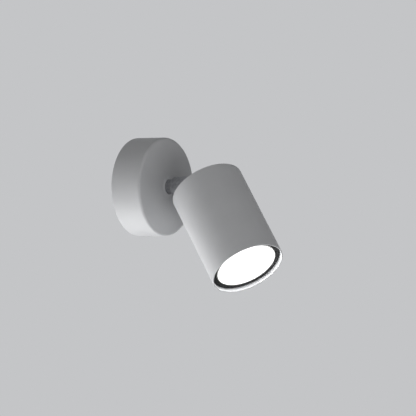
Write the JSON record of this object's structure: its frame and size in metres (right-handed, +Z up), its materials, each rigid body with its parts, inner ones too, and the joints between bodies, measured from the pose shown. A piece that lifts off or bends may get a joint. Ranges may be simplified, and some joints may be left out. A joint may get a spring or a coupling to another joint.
{
  "type": "spotlight wall light",
  "caption": "Wall spotlight: a round rose, a short swivelling arm and a cylindrical head that turns and tilts, with a recessed reflector lamp.",
  "frame": {"origin": "centre of the mounting plate's back face, on the wall, on the rose's axis", "axes": "+Z up, +Y into the wall, the light stands out of the wall towards -Y"},
  "size_m": [0.0879, 0.1402, 0.1247],
  "materials": {
    "white_paint": "fine matt powder coat",
    "grey_metal": "fine cast texture, matt",
    "zinc_steel": "zinc plated",
    "brass": "plain",
    "spring_bronze": "plain",
    "terminal_plastic": "moulded",
    "black_rubber": "moulded",
    "black_plastic": "moulded",
    "nylon": "natural",
    "ceramic": "glazed ceramic",
    "lamp_plastic": "moulded",
    "lamp_diffuser": "frosted, lit",
    "board_metal": "white solder mask",
    "led_phosphor": "yellow phosphor",
    "circuit_board": "green solder mask",
    "lead_sleeve": "white silicone",
    "earth_sleeve": "green and yellow sleeve"
  },
  "bodies": {
    "rose": {"mounting_plate": "zinc_steel", "cable_bush": "black_rubber", "rose_cover": "white_paint", "cover_screws": "white_paint", "terminal_block": "terminal_plastic", "terminal_sleeves": "brass", "terminal_screws": "zinc_steel", "block_screw": "zinc_steel", "earth_tooth_washer": "zinc_steel", "earth_screw": "brass", "earth_lug": "brass", "earth_lead": "earth_sleeve", "neck": "grey_metal", "rose_lock_washer": "zinc_steel", "rose_lock_nut": "zinc_steel", "pan_washer": "nylon", "rose_leads": "lead_sleeve"},
    "arm": {"arm_barrel": "grey_metal", "pan_grub_screw": "zinc_steel", "pivot_screw": "zinc_steel", "pivot_nut": "zinc_steel", "pivot_spring_washer": "zinc_steel", "friction_ring": "nylon", "arm_lead": "lead_sleeve"},
    "head": {"head_knuckle": "grey_metal", "back_plate": "white_paint", "head_tube": "white_paint", "lamp_ring": "black_plastic", "holder_bracket": "zinc_steel", "head_lock_washer": "zinc_steel", "head_lock_nut": "zinc_steel", "holder_body": "ceramic", "holder_cover": "ceramic", "holder_contacts": "spring_bronze", "holder_screws": "zinc_steel", "head_leads": "lead_sleeve"},
    "lamp": {"lamp_base": "lamp_plastic", "lamp_pins": "zinc_steel", "lamp_housing": "lamp_plastic", "lamp_lens": "lamp_diffuser", "led_board": "board_metal", "led_chips": "led_phosphor", "driver_board": "circuit_board"}
  },
  "joints": [
    {"name": "arm_pan", "type": "hinge", "parent": "rose", "child": "arm", "pos_m": [0, 0, 0], "axis": [0, -1, 0], "range_deg": [-139.07, 170.93]},
    {"name": "head_tilt", "type": "hinge", "parent": "arm", "child": "head", "pos_m": [0, -0.0652, 0], "axis": [0.9616, 0, -0.2745], "range_deg": [-128.2, 21.8]},
    {"name": "lamp_twist", "type": "hinge", "parent": "head", "child": "lamp", "pos_m": [0, -0.0652, 0], "axis": [-0.2198, -0.599, -0.77], "range_deg": [0, 25]}
  ]
}
